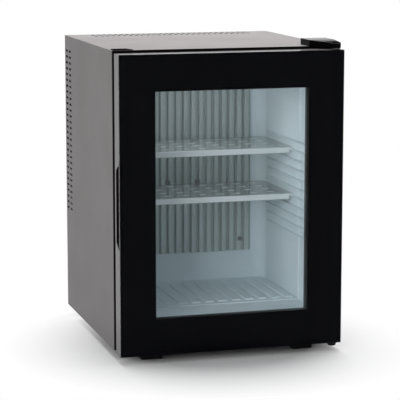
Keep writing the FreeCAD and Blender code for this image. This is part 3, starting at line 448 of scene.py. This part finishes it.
def islandBoxes(name):
    # the box of each separate solid of a CAD node
    work = bmesh.new()
    work.from_mesh(nodes[name].data)
    bmesh.ops.remove_doubles(work, verts=work.verts, dist=screwLook["weld"])
    left = set(work.verts)
    boxes = []
    while left:
        stack, island = [left.pop()], []
        while stack:
            vert = stack.pop()
            island.append(vert.co.copy())
            for edge in vert.link_edges:
                other = edge.other_vert(vert)
                if other in left:
                    left.discard(other)
                    stack.append(other)
        low = Vector([min(point[axis] for point in island) for axis in range(3)])
        high = Vector([max(point[axis] for point in island) for axis in range(3)])
        boxes.append((low, high))
    work.free()
    return sorted(boxes, key=lambda pair: tuple(pair[0]))


def replaceScrews(node, body, normal, finish):
    # a cross head in place of each CAD screw, level with its outer end
    normal, height = Vector(normal), screwLook["height"]
    places, radius = [], 0.0
    for low, high in islandBoxes(node):
        middle, half = (low + high) / 2, (high - low) / 2
        reach = sum(abs(normal[axis]) * half[axis] for axis in range(3))
        places.append(middle + normal * (reach - height))
        radius = min(half[axis] for axis in range(3) if not normal[axis])
    words = node.split("_")
    pieceName = words[0] + "".join(word.title() for word in words[1:]) + "Heads"
    piece = screwGroup(pieceName, places, normal, radius, height, finish)
    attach(piece, body)
    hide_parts(node)


# the cooling plate screws take the darker steel, painted recess shade
replaceScrews("cooling_plate_screws", "cabinet", (0, -1, 0), recessShadeSteel)
replaceScrews("hot_block_screws", "cabinet", (0, 1, 0), zincPlate)
replaceScrews("lower_hinge_screws", "cabinet", (0, 0, -1), zincPlate)


# small fasteners at the back

fastenerLook = {
    "radius": 0.0036, "height": 0.0018, "lidInset": 0.007,
    "footSheet": 0.0012, "footSide": 0.007, "footInset": 0.012,
    "rimInset": 0.006, "rimShares": (0.06, 0.3, 0.55),
}


def backFasteners():
    look = fastenerLook
    lidLow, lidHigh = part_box("supply_lid")
    inset = look["lidInset"]
    lidPlaces = [
        Vector((x, lidHigh.y, z))
        for x in (lidLow.x + inset, lidHigh.x - inset)
        for z in (lidLow.z + inset, lidHigh.z - inset)
    ]
    bracketLow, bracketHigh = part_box("fin_brackets")
    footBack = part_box("rear_bulkhead")[1].y + look["footSheet"]
    footPlaces = [
        Vector((side * (bracketHigh.x - look["footSide"]), footBack, z))
        for side in (-1, 1)
        for z in (bracketLow.z + look["footInset"], bracketHigh.z - look["footInset"])
    ]
    wallLow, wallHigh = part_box("rear_bulkhead")
    rimReach, wallRise = wallHigh.x - look["rimInset"], wallHigh.z - wallLow.z
    rimPlaces = [
        Vector((side * rimReach, wallHigh.y, wallLow.z + share * wallRise))
        for side in (-1, 1)
        for share in look["rimShares"]
    ]
    groups = {"supplyLidScrews": lidPlaces, "finBracketScrews": footPlaces, "bulkheadScrews": rimPlaces}
    for name, places in groups.items():
        piece = screwGroup(name, places, (0, 1, 0), look["radius"], look["height"], zincPlate)
        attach(piece, "cabinet")


backFasteners()

pinHeadLook = {"radius": 0.0074, "height": 0.0040}


def pinHead():
    # the head of the lower hinge pin, seen below the door
    look = pinHeadLook
    low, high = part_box("lower_hinge_pin")
    place = Vector(((low.x + high.x) / 2, (low.y + high.y) / 2, low.z))
    piece = screwGroup("lowerPinHead", [place], (0, 0, -1), look["radius"], look["height"], grainedBlack)
    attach(piece, "cabinet")


pinHead()
print("fasteners made")


# scale marks round the thermostat knob

dialLook = {
    "count": 7, "firstAngle": -90.0, "sweep": 240.0, "gap": 0.0025,
    "length": 0.0045, "width": 0.0011, "taper": 0.6, "rise": 0.0005,
}


def dialMarks():
    look = dialLook
    low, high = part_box("thermostat_knob")
    centre = (low + high) / 2
    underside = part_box("lamp_housing")[0].z
    inner = (high.x - low.x) / 2 + look["gap"]
    drop = Vector((0, 0, -look["rise"]))
    marks = bmesh.new()
    for index in range(look["count"]):
        angle = math.radians(look["firstAngle"] + look["sweep"] * index / (look["count"] - 1))
        along = Vector((math.cos(angle), math.sin(angle), 0))
        across = Vector((-along.y, along.x, 0)) * look["width"] / 2
        tip = across * look["taper"]
        start = Vector((centre.x, centre.y, underside)) + along * inner
        end = start + along * look["length"]
        base = [start - across, start + across, end + tip, end - tip]
        upper = [marks.verts.new(point) for point in base]
        lower = [marks.verts.new(point + drop) for point in base]
        marks.faces.new(upper)
        marks.faces.new(list(reversed(lower)))
        for corner in range(len(base)):
            after = (corner + 1) % len(base)
            marks.faces.new((upper[after], upper[corner], lower[corner], lower[after]))
    bmesh.ops.recalc_face_normals(marks, faces=marks.faces)
    mesh = meshFrom("dialMarks", marks)
    mesh.materials.append(grainedBlack)
    piece = addObject("dialMarks", mesh)
    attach(piece, "cabinet")


dialMarks()
print("dial marked")


# floor, light and camera

floorLook = {
    "half": 8.0, "colour": (0.52, 0.52, 0.52, 1.0), "rough": 0.9, "shine": 0.0,
    "centre": (0.0, -0.1, 0.0), "fadeSpan": (0.17, 0.38),  # turns white over this distance
}


def whiteRays(tree):
    # 1 for rays that show the background: straight sight, mirrors and glass
    path = tree.nodes.new("ShaderNodeLightPath")
    total = path.outputs["Is Camera Ray"]
    for label in ("Is Glossy Ray", "Is Transmission Ray"):
        total = addMath(tree, "MAXIMUM", total, path.outputs[label])
    return total


def paleFloor():
    look = floorLook
    finish, tree, shader = newFinish("paleFloor")
    shader.inputs["Base Color"].default_value = look["colour"]
    shader.inputs["Roughness"].default_value = look["rough"]
    shader.inputs["Specular IOR Level"].default_value = look["shine"]
    place = tree.nodes.new("ShaderNodeNewGeometry")
    reach = tree.nodes.new("ShaderNodeVectorMath")
    reach.operation = "DISTANCE"
    reach.inputs[1].default_value = look["centre"]
    tree.links.new(place.outputs["Position"], reach.inputs[0])
    fade = addRange(tree, reach.outputs["Value"], 0.0, 1.0, look["fadeSpan"])
    shown = addMath(tree, "MULTIPLY", fade, whiteRays(tree))
    white = addNode(tree, "ShaderNodeEmission", {"Color": pureWhite, "Strength": 1.0})
    whole = addMix(tree, shown, shader.outputs["BSDF"], white.outputs["Emission"])
    tree.links.new(whole, surfaceSocket(tree))
    half = look["half"]
    corners = [(-half, -half, 0), (half, -half, 0), (half, half, 0), (-half, half, 0)]
    mesh = bpy.data.meshes.new("studioFloor")
    mesh.from_pydata(corners, [], [(0, 1, 2, 3)])
    mesh.materials.append(finish)
    floor = addObject("studioFloor", mesh)


paleFloor()

skyLook = {"ambient": (0.96, 0.98, 1.0, 1.0), "strength": 0.40}


def whiteSky():
    # white to look at, softer as light on the object
    world = bpy.data.worlds.new("whiteSky")
    world.use_nodes = True
    bpy.context.scene.world = world
    tree = world.node_tree
    tree.nodes.clear()
    output = tree.nodes.new("ShaderNodeOutputWorld")
    settings = {"Color": skyLook["ambient"], "Strength": skyLook["strength"]}
    soft = addNode(tree, "ShaderNodeBackground", settings)
    white = addNode(tree, "ShaderNodeBackground", {"Color": pureWhite, "Strength": 1.0})
    whole = addMix(tree, whiteRays(tree), soft.outputs["Background"], white.outputs["Background"])
    tree.links.new(whole, output.inputs["Surface"])


whiteSky()

lampLook = {
    "overheadBox": {
        "place": (0.32, 0.85, 2.1), "aim": (0.0, 0.0, 0.3), "size": 2.6, "watts": 143.0,
    },
    "frontBox": {
        "place": (-1.7, -2.0, 0.62), "aim": (0.05, -0.1, 0.28), "size": 1.5, "watts": 42.0,
    },
    "insideGlow": {  # just under the lens of the lamp
        "place": (-0.017, -0.034, 0.471), "aim": (0.03, 0.0, 0.2), "size": 0.04, "watts": 0.08,
    },
}


def softBoxes():
    for name, look in lampLook.items():
        data = bpy.data.lights.new(name, "AREA")
        data.shape = "SQUARE"
        data.size = look["size"]
        data.energy = look["watts"]
        lamp = addObject(name, data)
        lamp.location = look["place"]
        aim = Vector(look["aim"]) - lamp.location
        lamp.rotation_euler = aim.to_track_quat("-Z", "Y").to_euler()
        lamp.visible_camera = False
        lamp.visible_glossy = False


softBoxes()

cameraLook = {
    "azimuth": 16.236, "elevation": 9.414, "distance": 3.2738, "target": (0.0031, 0.0, 0.2451),
    "lens": 160.22, "sensor": 36.0,
}


def photoCamera():
    look = cameraLook
    turn, rise = math.radians(look["azimuth"]), math.radians(look["elevation"])
    away = Vector((-math.sin(turn) * math.cos(rise), -math.cos(turn) * math.cos(rise), math.sin(rise)))
    data = bpy.data.cameras.new("photoCamera")
    data.sensor_width = look["sensor"]
    data.lens = look["lens"]
    camera = addObject("photoCamera", data)
    camera.location = Vector(look["target"]) + away * look["distance"]
    camera.rotation_euler = (-away).to_track_quat("-Z", "Y").to_euler()
    bpy.context.scene.camera = camera


photoCamera()
bpy.context.scene.view_settings.view_transform = "Standard"
print("stage set")
